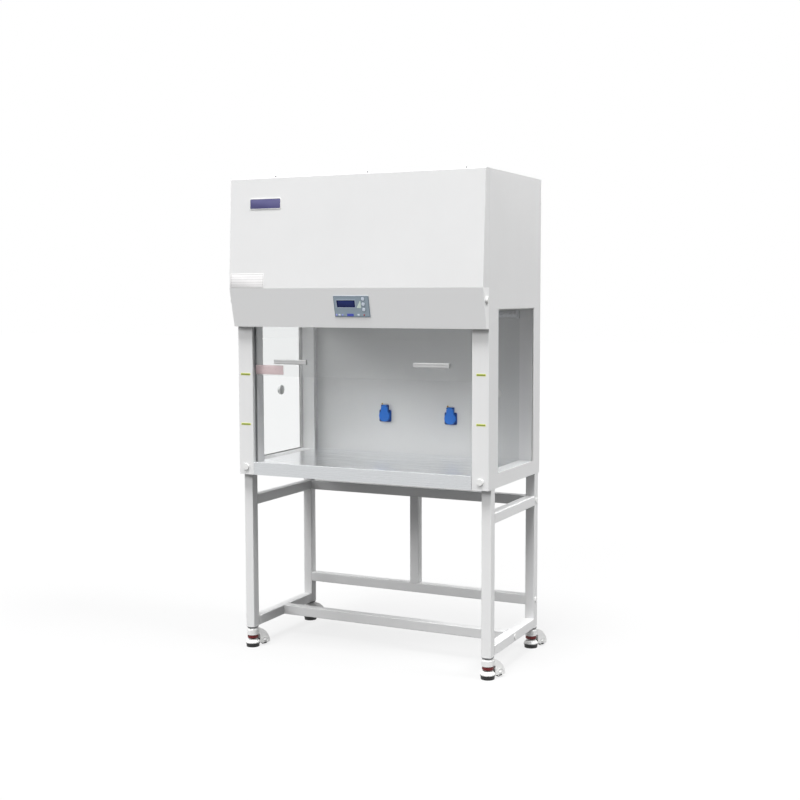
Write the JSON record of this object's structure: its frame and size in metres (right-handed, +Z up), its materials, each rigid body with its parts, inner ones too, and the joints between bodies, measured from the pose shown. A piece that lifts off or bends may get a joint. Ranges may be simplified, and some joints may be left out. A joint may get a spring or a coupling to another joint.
{
  "type": "vertical laminar flow cabinet",
  "caption": "Vertical laminar flow cabinet on a tube stand: flip-up front cover, sliding glass sash, side windows, blower and filter above, levelling casters.",
  "frame": {"origin": "on the floor, under the middle of the whole outline", "axes": "+X to the cabinet's right as seen from the front, +Y to the back, +Z up"},
  "size_m": [1.0882, 0.63, 1.8513],
  "materials": {
    "white_paint": "satin powder coat",
    "inner_paint": "satin powder coat",
    "stainless": "brushed",
    "zinc_steel": "zinc plated",
    "aluminium": "anodised",
    "clear_glass": "clear toughened",
    "white_plastic": "smooth",
    "red_plastic": "smooth",
    "black_rubber": "matt",
    "wheel_nylon": "matt",
    "panel_film": "satin film",
    "display": "glossy",
    "key_white": "satin",
    "key_blue": "satin",
    "socket_blue": "smooth",
    "filter_pack": "matt",
    "motor_black": "matt",
    "lamp_glass": "frosted"
  },
  "bodies": {
    "cabinet": {"side_frame_left": "white_paint", "side_frame_right": "white_paint", "rear_rail_upper": "white_paint", "rear_rail_lower": "white_paint", "lower_stretcher": "white_paint", "rear_centre_post": "white_paint", "frame_bolts": "zinc_steel", "caps_and_plugs": "white_plastic", "caster_stems": "zinc_steel", "side_panel_left": "white_paint", "side_panel_right": "white_paint", "side_glass_left": "clear_glass", "side_glass_right": "clear_glass", "work_tray": "stainless", "base_pan": "inner_paint", "back_wall": "inner_paint", "rear_panel": "white_paint", "top_panel": "white_paint", "sash_guides": "aluminium", "balancer_brackets": "zinc_steel", "balancer_tapes": "stainless", "hinge_leaves_fixed": "stainless", "socket_bases": "socket_blue", "diffuser_plate": "inner_paint", "hepa_filter": "filter_pack", "plenum_box": "inner_paint", "fan_motor": "motor_black", "lamps": "lamp_glass"},
    "caster_front_left": {"caster_body_front_left": "white_plastic"},
    "wheel_front_left": {"caster_wheel_front_left": "wheel_nylon"},
    "thumbwheel_front_left": {"caster_thumbwheel_front_left": "red_plastic"},
    "foot_front_left": {"foot_pad_front_left": "black_rubber"},
    "caster_front_right": {"caster_body_front_right": "white_plastic"},
    "wheel_front_right": {"caster_wheel_front_right": "wheel_nylon"},
    "thumbwheel_front_right": {"caster_thumbwheel_front_right": "red_plastic"},
    "foot_front_right": {"foot_pad_front_right": "black_rubber"},
    "caster_rear_left": {"caster_body_rear_left": "white_plastic"},
    "wheel_rear_left": {"caster_wheel_rear_left": "wheel_nylon"},
    "thumbwheel_rear_left": {"caster_thumbwheel_rear_left": "red_plastic"},
    "foot_rear_left": {"foot_pad_rear_left": "black_rubber"},
    "caster_rear_right": {"caster_body_rear_right": "white_plastic"},
    "wheel_rear_right": {"caster_wheel_rear_right": "wheel_nylon"},
    "thumbwheel_rear_right": {"caster_thumbwheel_rear_right": "red_plastic"},
    "foot_rear_right": {"foot_pad_rear_right": "black_rubber"},
    "sash": {"sash_glass": "clear_glass", "sash_fittings": "white_plastic"},
    "balancer_drums": {"balancer_drums": "white_plastic"},
    "cover": {"front_cover": "white_paint", "hinge_leaves_cover": "stainless", "control_panel": "panel_film", "display_window": "display"},
    "knob_left": {"cover_knob_left": "white_plastic"},
    "knob_right": {"cover_knob_right": "white_plastic"},
    "fan_key": {"fan_key": "key_white"},
    "lamp_key": {"lamp_key": "key_white"},
    "uv_key": {"uv_key": "key_white"},
    "power_key": {"power_key": "key_blue"},
    "lid_left": {"socket_lid_left": "socket_blue"},
    "lid_right": {"socket_lid_right": "socket_blue"},
    "impeller": {"impeller": "aluminium"}
  },
  "joints": [
    {"name": "caster_swivel_front_left", "type": "hinge", "parent": "cabinet", "child": "caster_front_left", "pos_m": [-0.505, -0.20996, 0.076], "axis": [0, 0, 1], "continuous": true},
    {"name": "wheel_spin_front_left", "type": "hinge", "parent": "caster_front_left", "child": "wheel_front_left", "pos_m": [-0.47872, -0.171, 0.02], "axis": [-0.829, 0.5592, 0], "continuous": true},
    {"name": "thumbwheel_turn_front_left", "type": "hinge", "parent": "caster_front_left", "child": "thumbwheel_front_left", "pos_m": [-0.505, -0.20996, 0.042], "axis": [0, 0, 1], "range_deg": [-1100, 1300]},
    {"name": "foot_slide_front_left", "type": "slide", "parent": "caster_front_left", "child": "foot_front_left", "axis": [0, 0, 1], "range_m": [-0.006, 0.005]},
    {"name": "caster_swivel_front_right", "type": "hinge", "parent": "cabinet", "child": "caster_front_right", "pos_m": [0.505, -0.20996, 0.076], "axis": [0, 0, 1], "continuous": true},
    {"name": "wheel_spin_front_right", "type": "hinge", "parent": "caster_front_right", "child": "wheel_front_right", "pos_m": [0.53128, -0.171, 0.02], "axis": [-0.829, 0.5592, 0], "continuous": true},
    {"name": "thumbwheel_turn_front_right", "type": "hinge", "parent": "caster_front_right", "child": "thumbwheel_front_right", "pos_m": [0.505, -0.20996, 0.042], "axis": [0, 0, 1], "range_deg": [-1100, 1300]},
    {"name": "foot_slide_front_right", "type": "slide", "parent": "caster_front_right", "child": "foot_front_right", "axis": [0, 0, 1], "range_m": [-0.006, 0.005]},
    {"name": "caster_swivel_rear_left", "type": "hinge", "parent": "cabinet", "child": "caster_rear_left", "pos_m": [-0.505, 0.25104, 0.076], "axis": [0, 0, 1], "continuous": true},
    {"name": "wheel_spin_rear_left", "type": "hinge", "parent": "caster_rear_left", "child": "wheel_rear_left", "pos_m": [-0.47872, 0.29, 0.02], "axis": [-0.829, 0.5592, 0], "continuous": true},
    {"name": "thumbwheel_turn_rear_left", "type": "hinge", "parent": "caster_rear_left", "child": "thumbwheel_rear_left", "pos_m": [-0.505, 0.25104, 0.042], "axis": [0, 0, 1], "range_deg": [-1100, 1300]},
    {"name": "foot_slide_rear_left", "type": "slide", "parent": "caster_rear_left", "child": "foot_rear_left", "axis": [0, 0, 1], "range_m": [-0.006, 0.005]},
    {"name": "caster_swivel_rear_right", "type": "hinge", "parent": "cabinet", "child": "caster_rear_right", "pos_m": [0.505, 0.25104, 0.076], "axis": [0, 0, 1], "continuous": true},
    {"name": "wheel_spin_rear_right", "type": "hinge", "parent": "caster_rear_right", "child": "wheel_rear_right", "pos_m": [0.53128, 0.29, 0.02], "axis": [-0.829, 0.5592, 0], "continuous": true},
    {"name": "thumbwheel_turn_rear_right", "type": "hinge", "parent": "caster_rear_right", "child": "thumbwheel_rear_right", "pos_m": [0.505, 0.25104, 0.042], "axis": [0, 0, 1], "range_deg": [-1100, 1300]},
    {"name": "foot_slide_rear_right", "type": "slide", "parent": "caster_rear_right", "child": "foot_rear_right", "axis": [0, 0, 1], "range_m": [-0.006, 0.005]},
    {"name": "sash_slide", "type": "slide", "parent": "cabinet", "child": "sash", "axis": [0, 0, 1], "range_m": [-0.333, 0.165], "deforming": ["balancer_tapes"]},
    {"name": "drum_spin", "type": "hinge", "parent": "cabinet", "child": "balancer_drums", "pos_m": [0, -0.20756, 1.8005], "axis": [1, 0, 0], "range_deg": [-433, 870]},
    {"name": "cover_hinge", "type": "hinge", "parent": "cabinet", "child": "cover", "pos_m": [0, -0.25896, 1.8468], "axis": [-1, 0, 0], "range_deg": [0, 90]},
    {"name": "knob_turn_left", "type": "hinge", "parent": "cover", "child": "knob_left", "pos_m": [-0.525, -0.28296, 1.381], "axis": [-1, 0, 0], "range_deg": [-720, 0]},
    {"name": "knob_turn_right", "type": "hinge", "parent": "cover", "child": "knob_right", "pos_m": [0.525, -0.28296, 1.381], "axis": [1, 0, 0], "range_deg": [-720, 0]},
    {"name": "fan_key_press", "type": "slide", "parent": "cover", "child": "fan_key", "axis": [0, 0.9763, 0.2166], "range_m": [0, 0.0006], "stiffness_N_per_m": 900, "springref_m": -0.0002},
    {"name": "lamp_key_press", "type": "slide", "parent": "cover", "child": "lamp_key", "axis": [0, 0.9763, 0.2166], "range_m": [0, 0.0006], "stiffness_N_per_m": 900, "springref_m": -0.0002},
    {"name": "uv_key_press", "type": "slide", "parent": "cover", "child": "uv_key", "axis": [0, 0.9763, 0.2166], "range_m": [0, 0.0006], "stiffness_N_per_m": 900, "springref_m": -0.0002},
    {"name": "power_key_press", "type": "slide", "parent": "cover", "child": "power_key", "axis": [0, 0.9763, 0.2166], "range_m": [0, 0.0006], "stiffness_N_per_m": 900, "springref_m": -0.0002},
    {"name": "lid_hinge_left", "type": "hinge", "parent": "cabinet", "child": "lid_left", "pos_m": [-0.134, 0.23374, 0.942], "axis": [-1, 0, 0], "range_deg": [0, 110], "stiffness_Nm_per_rad": 0.01, "springref_deg": -57.3},
    {"name": "lid_hinge_right", "type": "hinge", "parent": "cabinet", "child": "lid_right", "pos_m": [0.161, 0.23374, 0.942], "axis": [-1, 0, 0], "range_deg": [0, 110], "stiffness_Nm_per_rad": 0.01, "springref_deg": -57.3},
    {"name": "impeller_spin", "type": "hinge", "parent": "cabinet", "child": "impeller", "pos_m": [0, 0.03304, 1.55], "axis": [0, 0, 1], "continuous": true}
  ],
  "couplings": [
    {"joint": "thumbwheel_turn_front_left", "follows": "foot_slide_front_left", "rad_per_m": -3590.4},
    {"joint": "thumbwheel_turn_front_right", "follows": "foot_slide_front_right", "rad_per_m": -3590.4},
    {"joint": "thumbwheel_turn_rear_left", "follows": "foot_slide_rear_left", "rad_per_m": -3590.4},
    {"joint": "thumbwheel_turn_rear_right", "follows": "foot_slide_rear_right", "rad_per_m": -3590.4},
    {"joint": "drum_spin", "follows": "sash_slide", "rad_per_m": -45.455}
  ]
}
